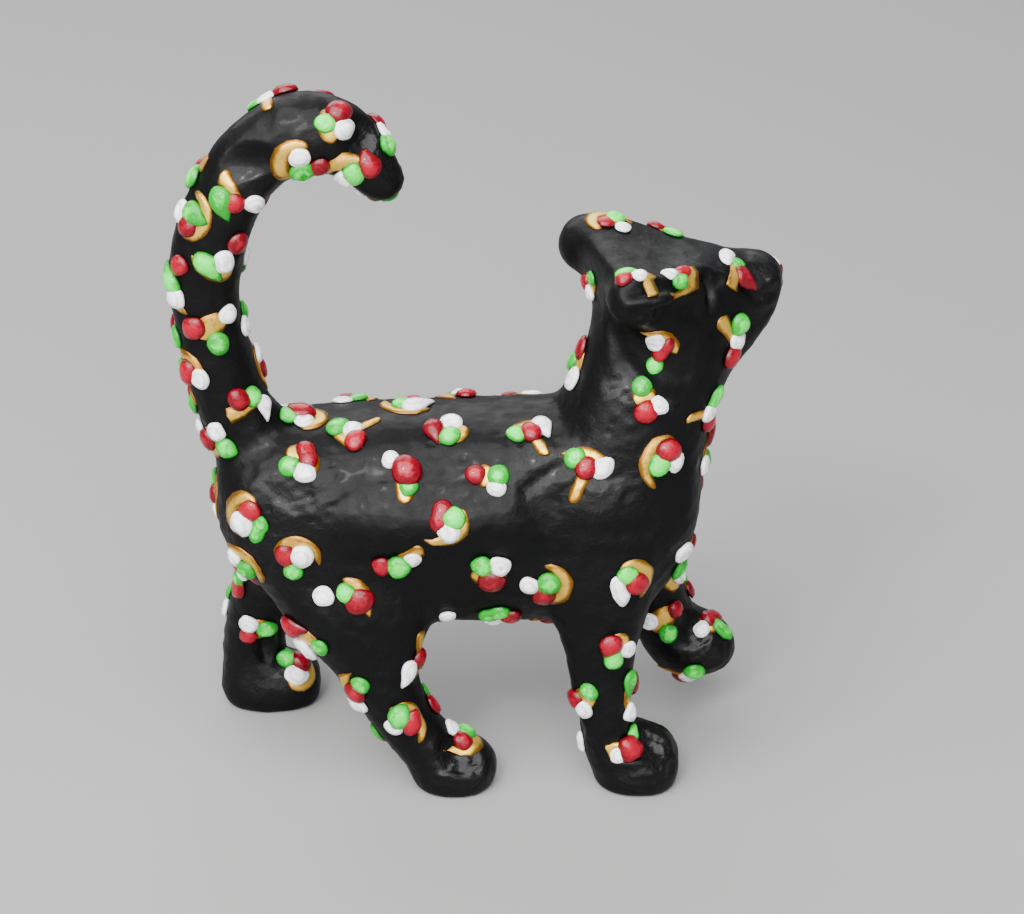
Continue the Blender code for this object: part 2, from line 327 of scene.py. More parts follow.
@dataclass(frozen=True)
class BlackVarnish:
    """Black paint brushed over pulp, under an uneven satin varnish."""

    name: str = "black_varnish"
    black: Colour = (0.0010, 0.0010, 0.0012)
    worn: Colour = (0.0028, 0.0028, 0.0032)
    cloud_size: float = 9 * MM
    fibre_size: float = 0.9 * MM
    tissue_size: float = 3.4 * MM
    strip_size: float = 7.0 * MM
    crease_size: float = 2.2 * MM
    pit_size: float = 2.2 * MM
    relief: float = 0.25 * MM
    smooth: float = 0.48
    dull: float = 0.58

    def material(self) -> bpy.types.Material:
        """Wire up the finish.

        Returns:
            The material.
        """
        graph = Graph(self.name)
        clouds = graph.grain(self.cloud_size, 4.0, 0.6)
        fibres = graph.grain(self.fibre_size, 3.0, 0.65)
        smears = graph.grain(self.cloud_size / 3, 2.0, 0.5)
        dusty = graph.between(clouds * 0.7 + fibres * 0.3, 0.50, 0.72)
        dullness = graph.between(smears * 0.6 + clouds * 0.4, 0.36, 0.64)
        pits = 1 - graph.between(graph.cells(self.pit_size), 0.05, 0.22)
        tissue = graph.ridged(graph.grain(self.tissue_size, 2.0, 0.5))
        crumpled = graph.attribute("crumpled")
        creases = graph.ridged(graph.grain(self.crease_size, 2.0, 0.6))
        strips = graph.between(graph.grain(self.strip_size, 3.0, 0.6), 0.49, 0.52)
        height = fibres * 0.3 + smears * 0.2 + tissue * 0.15 + strips * (0.35 + crumpled * 0.65)
        height = height + (0.16 + crumpled * 0.84) * creases * 0.9
        height = height - pits * graph.between(clouds, 0.45, 0.6) * 0.6
        return graph.finish(
            Base_Color=graph.mixed(dusty * 0.75, self.black, self.worn),
            Roughness=self.smooth + dullness * (self.dull - self.smooth),
            Normal=graph.bump(height, self.relief, 0.45),
            Specular_IOR_Level=0.10,
            Coat_Weight=0.05 + (1 - dullness) * 0.03 + crumpled * 0.2,
            Coat_Roughness=0.18,
        )


@dataclass(frozen=True)
class DabPaint:
    """Thick pearly paint dried as a glossy dome, with painted shade darkening its rim, partly thin paint
    over the black, and a painted highlight lightening its crown.
    """

    name: str
    # The rim colour is partly thin paint over the black and partly painted shade; the crown colour is a
    # painted highlight.
    rim: Colour
    body: Colour
    crown: Colour
    roughness: float = 0.3
    fleck: float = 0.25
    # How strongly the bubble pits and the ring groove are darkened with painted shade.
    bubbles: float = 0.3
    ring: float = 0.15
    swirl_size: float = 1.3 * MM
    fleck_size: float = 0.55 * MM
    bubble_size: float = 1.1 * MM
    froth_size: float = 2.6 * MM
    relief: float = 0.3 * MM

    def material(self) -> bpy.types.Material:
        """Wire up the finish.

        Returns:
            The material.
        """
        graph = Graph(self.name)
        rise = graph.attribute("dab_rise")
        tone = graph.attribute("dab_tone")
        swirl = graph.grain(self.swirl_size, 3.0, 0.6)
        # Painted shade and highlight: darker towards the dome's rim, partly thin paint over the black,
        # and lighter at its crown.
        edge = graph.between(rise + (swirl - 0.5) * 0.5, 0.10, 0.52)
        painted_highlight_mask = graph.between(rise + (swirl - 0.5) * 0.9 + (tone - 0.5) * 0.4, 0.62, 1.0)
        colour = graph.mixed(edge, self.rim, self.body)
        colour = graph.mixed(painted_highlight_mask * 0.8, colour, self.crown)
        flecks = graph.between(graph.grain(self.fleck_size), 0.52, 0.70)
        colour = graph.mixed(flecks * self.fleck, colour, self.rim)
        # Painted shade in the bubble pits, which the bump also sinks.
        bubble = 1 - graph.between(graph.cells(self.bubble_size), 0.06, 0.24)
        bubble = bubble * graph.between(graph.grain(self.froth_size), 0.46, 0.56)
        colour = graph.mixed(bubble * self.bubbles, colour, self.rim)
        # Painted shade along the ring groove, which the bump also sinks.
        level = rise + (swirl - 0.5) * 0.35
        ring = graph.between(level, 0.66, 0.78) - graph.between(level, 0.80, 0.92)
        colour = graph.mixed(ring * self.ring, colour, self.rim)
        return graph.finish(
            Base_Color=colour,
            Roughness=self.roughness + (swirl - 0.5) * 0.2,
            Normal=graph.bump(swirl - bubble - ring * 0.4, self.relief, 0.5),
            Specular_IOR_Level=0.15,
            Coat_Weight=0.3,
            Coat_Roughness=0.06,
        )


@dataclass(frozen=True)
class GoldPaint:
    """Metallic gold paint, brushed flat, with painted shade darkening its edges and ends and a painted
    highlight where the mark stands highest.
    """

    name: str = "gold_paint"
    # The rim colour is painted shade along the mark's edges and ends; the highlight colour is a painted
    # highlight.
    rim: Colour = (0.06, 0.020, 0.001)
    body: Colour = (0.24, 0.10, 0.004)
    painted_highlight: Colour = (0.70, 0.43, 0.06)
    flake_size: float = 0.7 * MM
    pool_size: float = 3.5 * MM
    relief: float = 0.25 * MM

    def material(self) -> bpy.types.Material:
        """Wire up the finish.

        Returns:
            The material.
        """
        graph = Graph(self.name)
        rise = graph.attribute("dab_rise")
        tone = graph.attribute("dab_tone")
        flakes = graph.grain(self.flake_size, 4.0, 0.7)
        pools = graph.grain(self.pool_size)
        uneven = (pools - 0.5) * 0.7 + (tone - 0.5) * 0.2 + (flakes - 0.5) * 0.4
        # Painted shade towards the mark's edges and a painted highlight on its highest middle, with
        # random pools mixed in.
        colour = graph.mixed(graph.between(rise + uneven * 0.4, 0.25, 0.55), self.rim, self.body)
        colour = graph.mixed(graph.between(rise + uneven, 0.66, 1.0), colour, self.painted_highlight)
        return graph.finish(
            Base_Color=colour,
            Metallic=0.8,
            Roughness=0.30 + flakes * 0.22,
            Normal=graph.bump(flakes * 0.5 + pools, self.relief, 0.4),
            Coat_Weight=0.15,
            Coat_Roughness=0.12,
        )


@dataclass(frozen=True)
class PaleFloor:
    """Matt, nearly white studio paper."""

    name: str = "pale_floor"
    colour: Colour = (0.215, 0.215, 0.212)

    def material(self) -> bpy.types.Material:
        """The finish as a material."""
        return Graph(self.name).finish(Base_Color=self.colour, Roughness=0.85, Specular_IOR_Level=0.2)


class Paint(Enum):
    """The four paints that the cat is decorated with, each a piece of its own."""

    GOLD = "gold_paint"
    RED = "red_paint"
    GREEN = "green_paint"
    WHITE = "white_paint"


# Each dab paint's colours run rim, body, crown: the darker rim is partly painted shade and the lighter
# crown is a painted highlight.
FINISHES: dict[Paint, GoldPaint | DabPaint] = {
    Paint.GOLD: GoldPaint(),
    Paint.RED: DabPaint(
        "red_paint", (0.045, 0.0, 0.002), (0.125, 0.0, 0.005), (0.32, 0.0, 0.015), fleck=0.10
    ),
    Paint.GREEN: DabPaint(
        "green_paint", (0.002, 0.08, 0.005), (0.003, 0.27, 0.012), (0.06, 0.82, 0.07), fleck=0.12
    ),
    Paint.WHITE: DabPaint(
        "white_paint", (0.38, 0.39, 0.41), (0.80, 0.80, 0.81), (0.97, 0.97, 0.96), bubbles=0.5, ring=0.6
    ),
}


# ---- The skin of pulp ----


@dataclass(frozen=True)
class ThumbMark:
    """A soft dent in the skin, or a pad where its depth is negative."""

    place: Share
    radii: tuple[float, float, float]
    depth: float


@dataclass(frozen=True)
class Fold:
    """A crease between two places: a groove with a low lip along each side."""

    start: Share
    end: Share
    width: float
    depth: float


@dataclass(frozen=True)
class Facet:
    """A flat that a finger pressed or a strip of paper bridged, cut square to its normal."""

    place: Share
    normal: tuple[float, float, float]
    spread: float
    cut: float


class Weave(Enum):
    """The shapes that the unevenness of dried pulp takes."""

    LUMPS = "soft lumps"
    DENTS = "shallow dents with low ridges between them"
    RIDGES = "thin raised wrinkles"


@dataclass(frozen=True)
class Relief:
    """One layer of unevenness all over the skin."""

    weave: Weave
    size: float
    height: float
    seed: Vector
    patch_size: float = 0.0


@dataclass(frozen=True)
class Crumple:
    """A place where the wet tissue puckered into thin wrinkles, all running much one way."""

    place: Share
    spread: float
    run: tuple[float, float, float]
    height: float
    gloss: float = 1.0


@dataclass(frozen=True)
class Rubbed:
    """A place that was rubbed down, so that little of the unevenness is left on it."""

    place: Share
    spread: float


@dataclass(frozen=True)
class Pitting:
    """A place where bubbles in the pulp left small pits."""

    place: Share
    spread: float
    count: int


@dataclass(frozen=True)
class PulpSkin:
    """The cat's body as dried pulp: the solid's form with the marks of the hands on it."""

    box: FrameBox
    voxel: float = 0.78 * MM
    merge_gap: float = 0.001 * MM
    rounding_passes: int = 20

    # A fold's lips, by its own depth and width, and how far it runs on past its ends, by its length.
    lip_height: float = 0.45
    lip_place: float = 1.9
    fold_fade: float = 0.08

    # What is taken off each kind of unevenness, so that the skin doesn't swell or shrink with it.
    dent_mean: float = 0.5
    ridge_mean: float = 0.2
    wrinkle_mean: float = 0.35

    ridge_sharpness: int = 7
    patch_base: float = 0.55
    patch_contrast: float = 2.0
    wrinkle_sharpness: int = 4
    wrinkle_width: float = 3.2 * MM
    wrinkle_stretch: float = 1.8
    wrinkle_bend: float = 0.9
    wrinkle_bend_size: float = 5 * MM
    fine_wrinkle_scale: float = 2.1
    fine_wrinkle_height: float = 0.45
    sole_flat: float = 0.6 * MM
    sole_fade: float = 4 * MM
    pit_radii_mm: tuple[float, float] = (0.9, 1.5)
    pit_depths_mm: tuple[float, float] = (0.25, 0.6)
    seed: int = 41

    facets: tuple[Facet, ...] = (
        # The flat of the crown, the side of the face, and the end of the muzzle.
        Facet((0.80, 0.50, 0.772), (0.12, -0.05, 0.99), 22 * MM, 0.8 * MM),
        Facet((0.845, 0.30, 0.715), (0.58, -0.78, 0.22), 10 * MM, 0.8 * MM),
        Facet((0.968, 0.56, 0.733), (0.14, -0.62, 0.77), 8 * MM, 1.1 * MM),
        # The tops of the paws and the front of the toes.
        Facet((0.800, 0.10, 0.070), (0.22, -0.55, 0.80), 9.5 * MM, 1.4 * MM),
        Facet((0.832, 0.075, 0.035), (0.75, -0.60, 0.25), 7 * MM, 0.7 * MM),
        Facet((0.475, 0.08, 0.058), (0.15, -0.65, 0.74), 8 * MM, 1.2 * MM),
        Facet((0.89, 0.645, 0.135), (0.10, -0.66, 0.75), 9 * MM, 1.3 * MM),
        Facet((0.16, 0.86, 0.07), (0.10, 0.80, 0.60), 8 * MM, 0.8 * MM),
        # The side of the tail's end, and of its upper bend.
        Facet((0.330, 0.385, 0.940), (0.05, -0.70, 0.71), 8 * MM, 0.9 * MM),
        Facet((0.150, 0.330, 0.905), (-0.20, -0.75, 0.63), 8 * MM, 0.7 * MM),
        # The rump, the haunches and the shoulders.
        Facet((0.184, 0.143, 0.46), (-0.16, -0.89, 0.43), 13 * MM, 0.7 * MM),
        Facet((0.22, 0.10, 0.36), (-0.20, -0.98, 0.03), 12 * MM, 0.6 * MM),
        Facet((0.70, 0.87, 0.47), (0.10, 0.88, 0.45), 14 * MM, 0.7 * MM),
        Facet((0.24, 0.88, 0.40), (-0.20, 0.95, 0.20), 14 * MM, 0.7 * MM),
    )

    thumb_marks: tuple[ThumbMark, ...] = (
        # The pad over the right shoulder, and the hollow behind it.
        ThumbMark((0.70, 0.12, 0.460), (17 * MM, 9 * MM, 9 * MM), -1.1 * MM),
        ThumbMark((0.60, 0.12, 0.43), (8 * MM, 8 * MM, 13 * MM), 0.9 * MM),
        # Its twin on the left side.
        ThumbMark((0.72, 0.86, 0.45), (14 * MM, 9 * MM, 11 * MM), -1.1 * MM),
        # The fullness of each flank.
        ThumbMark((0.44, 0.10, 0.425), (40 * MM, 14 * MM, 11 * MM), -3.0 * MM),
        ThumbMark((0.44, 0.90, 0.425), (40 * MM, 14 * MM, 11 * MM), -3.0 * MM),
        # The flat of the right haunch, and the dip over the hip.
        ThumbMark((0.24, 0.10, 0.33), (12 * MM, 7 * MM, 12 * MM), 0.8 * MM),
        ThumbMark((0.14, 0.14, 0.42), (8 * MM, 8 * MM, 7 * MM), 0.8 * MM),
        # Each ear's cup, and the hollow of each eye.
        ThumbMark((0.800, 0.20, 0.728), (7 * MM, 5 * MM, 4 * MM), 2.0 * MM),
        ThumbMark((0.880, 0.39, 0.742), (4 * MM, 4 * MM, 4.5 * MM), 1.3 * MM),
        ThumbMark((0.70, 0.86, 0.735), (6 * MM, 5 * MM, 4 * MM), 1.3 * MM),
        # The rolled rim of the right ear, and the smaller roll under it.
        ThumbMark((0.770, 0.220, 0.782), (10 * MM, 4 * MM, 3 * MM), -1.5 * MM),
        ThumbMark((0.785, 0.175, 0.752), (6 * MM, 4 * MM, 2.6 * MM), -1.5 * MM),
        # The ridge in front of the right eye.
        ThumbMark((0.898, 0.43, 0.745), (3 * MM, 3 * MM, 5 * MM), -1.2 * MM),
        # The hollow between the leg and the toes of the left hind foot.
        ThumbMark((0.115, 0.71, 0.110), (3.5 * MM, 5 * MM, 7 * MM), 2.4 * MM),
        ThumbMark((0.175, 0.74, 0.085), (6 * MM, 5 * MM, 6 * MM), -1.4 * MM),
    )
    folds: tuple[Fold, ...] = (
        # Where the foreleg was joined to the body.
        Fold((0.575, 0.155, 0.475), (0.645, 0.19, 0.51), 1.6 * MM, 0.55 * MM),
        Fold((0.66, 0.13, 0.425), (0.77, 0.12, 0.415), 2.0 * MM, 0.4 * MM),
        # The edge of the jaw against the neck, from behind the ear to under the chin.
        Fold((0.705, 0.37, 0.70), (0.735, 0.29, 0.645), 1.6 * MM, 0.6 * MM),
        Fold((0.735, 0.29, 0.645), (0.79, 0.23, 0.60), 1.8 * MM, 0.7 * MM),
        Fold((0.79, 0.23, 0.60), (0.87, 0.27, 0.585), 2.0 * MM, 0.45 * MM),
        # The groove under the rim of the right ear, and the line under its lower roll.
        Fold((0.745, 0.150, 0.768), (0.815, 0.250, 0.764), 1.5 * MM, 1.3 * MM),
        Fold((0.815, 0.250, 0.764), (0.862, 0.375, 0.752), 1.4 * MM, 1.1 * MM),
        Fold((0.750, 0.120, 0.742), (0.812, 0.215, 0.738), 1.3 * MM, 1.1 * MM),
        # The crease at the right eye.
        Fold((0.866, 0.400, 0.762), (0.872, 0.360, 0.715), 1.3 * MM, 1.1 * MM),
        # The curved edge of the muzzle's end.
        Fold((0.928, 0.470, 0.728), (0.950, 0.500, 0.708), 1.2 * MM, 0.8 * MM),
        Fold((0.950, 0.500, 0.708), (0.980, 0.560, 0.706), 1.2 * MM, 0.8 * MM),
        # The raised wrinkles on the right paws.
        Fold((0.724, 0.036, 0.053), (0.797, 0.041, 0.057), 0.9 * MM, -0.5 * MM),
        Fold((0.729, 0.049, 0.084), (0.760, 0.064, 0.073), 0.9 * MM, -0.4 * MM),
        Fold((0.735, 0.020, 0.030), (0.775, 0.015, 0.022), 0.9 * MM, -0.4 * MM),
        Fold((0.427, 0.015, 0.040), (0.480, 0.030, 0.034), 0.9 * MM, -0.5 * MM),
    )
    crumples: tuple[Crumple, ...] = (
        Crumple((0.737, 0.27, 0.601), 8 * MM, (1.0, 0.0, 0.1), 0.50 * MM),
        Crumple((0.70, 0.13, 0.49), 18 * MM, (1.0, 0.0, 0.3), 0.34 * MM, 0.6),
        Crumple((0.60, 0.20, 0.50), 14 * MM, (0.3, 0.0, 1.0), 0.26 * MM, 0.6),
        Crumple((0.79, 0.09, 0.06), 14 * MM, (1.0, 0.2, -0.2), 0.65 * MM),
        Crumple((0.47, 0.07, 0.05), 13 * MM, (1.0, 0.2, -0.2), 0.60 * MM),
        Crumple((0.17, 0.14, 0.41), 20 * MM, (1.0, 0.0, -0.2), 0.36 * MM),
        Crumple((0.345, 0.38, 0.93), 14 * MM, (1.0, 0.0, -0.5), 0.60 * MM),
        Crumple((0.13, 0.28, 0.88), 11 * MM, (0.5, 0.0, 1.0), 0.36 * MM),
        Crumple((0.90, 0.66, 0.12), 14 * MM, (1.0, 0.0, 0.3), 0.50 * MM),
        Crumple((0.97, 0.58, 0.71), 10 * MM, (0.2, 0.0, 1.0), 0.22 * MM),
        Crumple((0.62, 0.85, 0.45), 22 * MM, (0.8, 0.0, 0.5), 0.34 * MM),
        Crumple((0.20, 0.86, 0.38), 22 * MM, (0.8, 0.0, -0.4), 0.34 * MM),
        Crumple((0.13, 0.82, 0.06), 16 * MM, (1.0, 0.2, 0.2), 0.38 * MM),
    )
    rubbed: tuple[Rubbed, ...] = (
        Rubbed((0.72, 0.60, 0.76), 26 * MM),
        Rubbed((0.72, 0.40, 0.66), 20 * MM),
    )
    left_after_rubbing: float = 0.3
    pittings: tuple[Pitting, ...] = (
        Pitting((0.19, 0.11, 0.385), 12 * MM, 30),
        Pitting((0.36, 0.16, 0.47), 20 * MM, 12),
        Pitting((0.64, 0.20, 0.51), 12 * MM, 10),
        Pitting((0.50, 0.45, 0.53), 24 * MM, 12),
        Pitting((0.45, 0.88, 0.40), 26 * MM, 20),
        Pitting((0.80, 0.15, 0.08), 10 * MM, 8),
    )
    reliefs: tuple[Relief, ...] = (
        Relief(Weave.LUMPS, 13 * MM, 0.70 * MM, Vector((2.2, 9.1, 4.7))),
        Relief(Weave.DENTS, 8 * MM, 0.52 * MM, Vector((7.3, 1.4, 0.6)), 30 * MM),
        Relief(Weave.RIDGES, 5.0 * MM, 0.24 * MM, Vector((5.9, 3.3, 8.2)), 16 * MM),
        Relief(Weave.LUMPS, 2.6 * MM, 0.14 * MM, Vector((0.4, 6.6, 2.5))),
    )

    def build(self) -> bpy.types.Object:
        """Make the skin.

        Returns:
            The skin's object, at the origin, with its place in its mesh.
        """
        skin = self._copy_of_solid()
        apply_modifier(skin, "REMESH", mode="VOXEL", voxel_size=self.voxel)
        apply_modifier(skin, "SMOOTH", factor=0.5, iterations=self.rounding_passes)
        self._press_forms(skin)
        self._roughen(skin)
        self._puncture(skin)
        apply_modifier(skin, "SMOOTH", factor=0.4, iterations=1)
        self._settle(skin)
        self._note_crumples(skin)
        skin.data.shade_smooth()
        return skin

    def dress(self, skin: bpy.types.Object) -> None:
        """Varnish the skin and let it stand for the solid.

        Args:
            skin: The built skin.
        """
        skin.data.materials.append(BlackVarnish().material())
        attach(skin, BODY)
        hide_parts(NODE)

    def _copy_of_solid(self) -> bpy.types.Object:
        """Copy the solid's mesh and merge its loose triangles.

        Returns:
            The copy, without a material.
        """
        skin = bpy.data.objects.new("painted_pulp_skin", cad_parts[NODE].data.copy())
        bpy.context.scene.collection.objects.link(skin)
        pick(skin)
        start_editing()
        bpy.ops.mesh.remove_doubles(threshold=self.merge_gap)
        bpy.ops.object.mode_set(mode="OBJECT")
        skin.data.materials.clear()
        return skin

    def _press_forms(self, skin: bpy.types.Object) -> None:
        """Cut the facets, then push the thumb marks and the folds into the skin.

        Args:
            skin: The skin to press.
        """
        for facet in self.facets:
            places = places_of(skin)
            set_places(skin, places - self._proud_of(places, facet))
        places = places_of(skin)
        inward = np.zeros(len(places))
        for mark in self.thumb_marks:
            offsets = (places - np.array(self.box.at(mark.place))) / np.array(mark.radii)
            inward += mark.depth * rounded_fade(np.linalg.norm(offsets, axis=1))
        for fold in self.folds:
            inward += self._groove(places, fold)
        set_places(skin, places - normals_of(skin) * inward[:, None])

    def _proud_of(self, places: np.ndarray, facet: Facet) -> np.ndarray:
        """How far the skin stands out over a facet's flat.

        Args:
            places: The skin's places.
            facet: The flat to cut.

        Returns:
            A vector for each place, to take off it.
        """
        middle = self.box.at(facet.place)
        normal = unit(np.array(facet.normal))
        proud = np.clip((places - np.array(middle)) @ normal + facet.cut, 0.0, None)
        return np.outer(proud * np.sqrt(nearness(places, middle, facet.spread)), normal)

    def _groove(self, places: np.ndarray, fold: Fold) -> np.ndarray:
        """How far a fold goes into the skin.

        Args:
            places: The skin's places.
            fold: The fold.

        Returns:
            A depth for each place, negative on the lips.
        """
        start = np.array(self.box.at(fold.start))
        run = np.array(self.box.at(fold.end)) - start
        share = np.clip((places - start) @ run / np.linalg.norm(run) ** 2, 0.0, 1.0)
        distance = np.linalg.norm(places - start - share[:, None] * run, axis=1) / fold.width
        taper = np.sqrt(np.clip(4.0 * (share + self.fold_fade) * (1 + self.fold_fade - share), 0.0, 1.0))
        lips = self.lip_height * np.exp(-((distance - self.lip_place) ** 2))
        return fold.depth * taper * (np.exp(-(distance**2)) - lips)

    def _roughen(self, skin: bpy.types.Object) -> None:
        """Raise the layers of unevenness and the crumples, everywhere but at the soles.

        Args:
            skin: The skin to roughen.
        """
        places = places_of(skin)
        outward = np.zeros(len(places))
        for relief in self.reliefs:
            outward += self._layer(places, relief)
        for rubbed in self.rubbed:
            near = nearness(places, self.box.at(rubbed.place), rubbed.spread)
            outward *= 1.0 - (1.0 - self.left_after_rubbing) * np.sqrt(near)
        for crumple in self.crumples:
            outward += self._crumpled(places, crumple)
        lift = np.clip((places[:, 2] - self.box.low.z - self.sole_flat) / self.sole_fade, 0.0, 1.0)
        set_places(skin, places + normals_of(skin) * (outward * lift)[:, None])

    def _layer(self, places: np.ndarray, relief: Relief) -> np.ndarray:
        """Work out one layer of unevenness.

        Args:
            places: The skin's places.
            relief: The layer.

        Returns:
            A height for each place.
        """
        heights = np.empty(len(places))
        for index, place in enumerate(places):
            spot = Vector(place) / relief.size + relief.seed
            if relief.weave is Weave.LUMPS:
                height = noise.noise(spot)
            elif relief.weave is Weave.DENTS:
                height = noise.voronoi(spot)[0][0] - self.dent_mean
            else:
                height = ridge(spot, self.ridge_sharpness) - self.ridge_mean
            if relief.patch_size:
                patch = noise.noise(Vector(place) / relief.patch_size + relief.seed)
                height *= min(1.0, max(0.0, self.patch_base + self.patch_contrast * patch))
            heights[index] = height
        return relief.height * heights

    def _crumpled(self, places: np.ndarray, crumple: Crumple) -> np.ndarray:
        """Work out the wrinkles of one crumple.

        Args:
            places: The skin's places.
            crumple: The crumple.

        Returns:
            A height for each place.
        """
        fade = nearness(places, self.box.at(crumple.place), crumple.spread)
        run = Vector(crumple.run).normalized()
        heights = np.zeros(len(places))
        for index in np.nonzero(fade)[0]:
            place = Vector(places[index])
            spot = place / self.wrinkle_width
            spot -= run * spot.dot(run) * (1.0 - 1.0 / self.wrinkle_stretch)
            spot += self.wrinkle_bend * noise.noise_vector(place / self.wrinkle_bend_size)
            broad = ridge(spot, self.wrinkle_sharpness) - self.wrinkle_mean
            fine = ridge(spot * self.fine_wrinkle_scale, self.wrinkle_sharpness) - self.wrinkle_mean
            heights[index] = broad + self.fine_wrinkle_height * fine
        return crumple.height * fade * heights

    def _note_crumples(self, skin: bpy.types.Object) -> None:
        """Store how crumpled the skin is at each vertex, for the varnish to read.

        Args:
            skin: The finished skin.
        """
        places = places_of(skin)
        most = np.zeros(len(places))
        for crumple in self.crumples:
            near = nearness(places, self.box.at(crumple.place), crumple.spread)
            most = np.maximum(most, crumple.gloss * near)
        note(skin, "crumpled", most)

    def _puncture(self, skin: bpy.types.Object) -> None:
        """Leave small round pits where bubbles broke in the pulp.

        Args:
            skin: The skin to pit.
        """
        places = places_of(skin)
        chance = random.Random(self.seed)
        inward = np.zeros(len(places))
        for pitting in self.pittings:
            centre = np.array(self.box.at(pitting.place))
            for _ in range(pitting.count):
                aside = [chance.uniform(-1.0, 1.0) * pitting.spread for _ in range(3)]
                pit = places[np.argmin(np.linalg.norm(places - centre - aside, axis=1))]
                radius = chance.uniform(*self.pit_radii_mm) * MM
                depth = chance.uniform(*self.pit_depths_mm) * MM
                inward += depth * nearness(places, pit, radius)
        set_places(skin, places - normals_of(skin) * inward[:, None])

    def _settle(self, skin: bpy.types.Object) -> None:
        """Stand the skin on the floor with nothing below it.

        Args:
            skin: The skin to stand.
        """
        places = places_of(skin)
        places[:, 2] = np.maximum(places[:, 2], self.box.low.z)
        set_places(skin, places)


# ---- The paint dabs ----


@dataclass(frozen=True)
class Spot:
    """A place on the skin with its outward normal."""

    place: Vector
    normal: Vector


class SkinProbe:
    """Finds spots on the finished skin."""

    def __init__(self, skin: bpy.types.Object, softening: int = 10) -> None:
        """Index the skin and soften its normals, so that dabs don't follow every grain.

        Args:
            skin: The finished skin.
            softening: How many times each normal is blended with its neighbours'.
        """
        mesh = skin.data
        mesh.calc_loop_triangles()
        corners = np.empty(len(mesh.loop_triangles) * 3, dtype=np.int32)
        mesh.loop_triangles.foreach_get("vertices", corners)
        self.triangles = corners.reshape(-1, 3)
        places = places_of(skin)
        self.tree = BVHTree.FromPolygons(places.tolist(), self.triangles.tolist())
        normals = normals_of(skin)
        for _ in range(softening):
            blended = normals.copy()
            for a, b in ((0, 1), (1, 2), (2, 0)):
                np.add.at(blended, self.triangles[:, a], normals[self.triangles[:, b]])
            normals = unit(blended)
        self.normals = normals

    def nearest(self, place: Vector) -> Spot:
        """The spot on the skin nearest to a place.

        Args:
            place: A place near the skin.

        Returns:
            The spot, with a softened normal.
        """
        hit, _, index, _ = self.tree.find_nearest(place)
        normal = self.normals[self.triangles[index]].mean(axis=0)
        return Spot(hit, Vector(normal).normalized())

    def way_out(self, inside: Vector, direction: Vector, reach: float) -> Spot | None:
        """The spot where a line from inside the cat comes out, if it does within reach."""
        hit, _, _, _ = self.tree.ray_cast(inside, direction, reach)
        return self.nearest(hit) if hit is not None else None


class Stroke(Enum):
    """The marks of a loaded brush in gold: a curve's pulls and half widths, in dot radii."""

    CRADLE = ((1.5, 2.5, 0.7), (-2.6, 2.9, 1.1), (-2.9, -1.6, 1.2), (-0.6, -3.0, 1.2), (1.1, -2.0, 0.5))
    PUDDLE = ((-2.1, 0.9, 1.1), (-0.3, 1.3, 1.8), (0.9, 0.1, 1.9), (1.6, -0.9, 0.9))
    COMMA = ((3.2, 2.3, 1.2), (2.0, 1.9, 1.1), (0.6, -0.2, 0.5), (-1.8, -0.6, 0.5))
    SWOOSH = ((-3.2, -0.4, 0.15), (-1.2, 1.9, 1.3), (1.4, 2.1, 1.5), (3.2, 0.4, 0.1))
    LEAF = ((-2.5, -1.5, 0.2), (-1.6, 0.6, 1.4), (0.4, 2.2, 1.3), (2.0, 2.0, 0.5))
    HOOK = ((-2.2, -2.2, 0.5), (-3.0, 1.2, 1.0), (-0.2, 3.2, 1.1), (2.6, 1.6, 0.8))
    TWIG = ((0.2, 0.2, 0.6), (1.2, -0.6, 0.6), (2.2, -2.2, 0.9), (2.9, -2.9, 0.6))
    BLOB = ((-1.3, 0.3, 0.9), (0.0, 0.9, 1.4), (1.3, 0.2, 0.9))


class Bead(Enum):
    """The shapes that a drop of thick paint dries in."""

    ROUND = "round"
    PULLED = "pulled"
    DIMPLED = "dimpled"
    DOUBLE = "double"


@dataclass(frozen=True)
class Habit:
    """How the drops of one paint come out: their sizes, unevenness, and the odds of each bead."""

    sizes: tuple[float, float]
    warp: float
    odds: tuple[float, float, float, float]


HABITS: dict[Paint, Habit] = {
    Paint.RED: Habit((1.03, 1.20), 0.15, (0.70, 0.08, 0.14, 0.08)),
    Paint.GREEN: Habit((0.95, 1.12), 0.15, (0.70, 0.08, 0.14, 0.08)),
    Paint.WHITE: Habit((0.92, 1.12), 0.22, (0.36, 0.18, 0.40, 0.06)),
}


@dataclass(frozen=True)
class Heap:
    """How one heap is put together: its brush marks, and the dots that lie on them."""

    strokes: tuple[Stroke, ...]
    dots: tuple[Dot, ...]


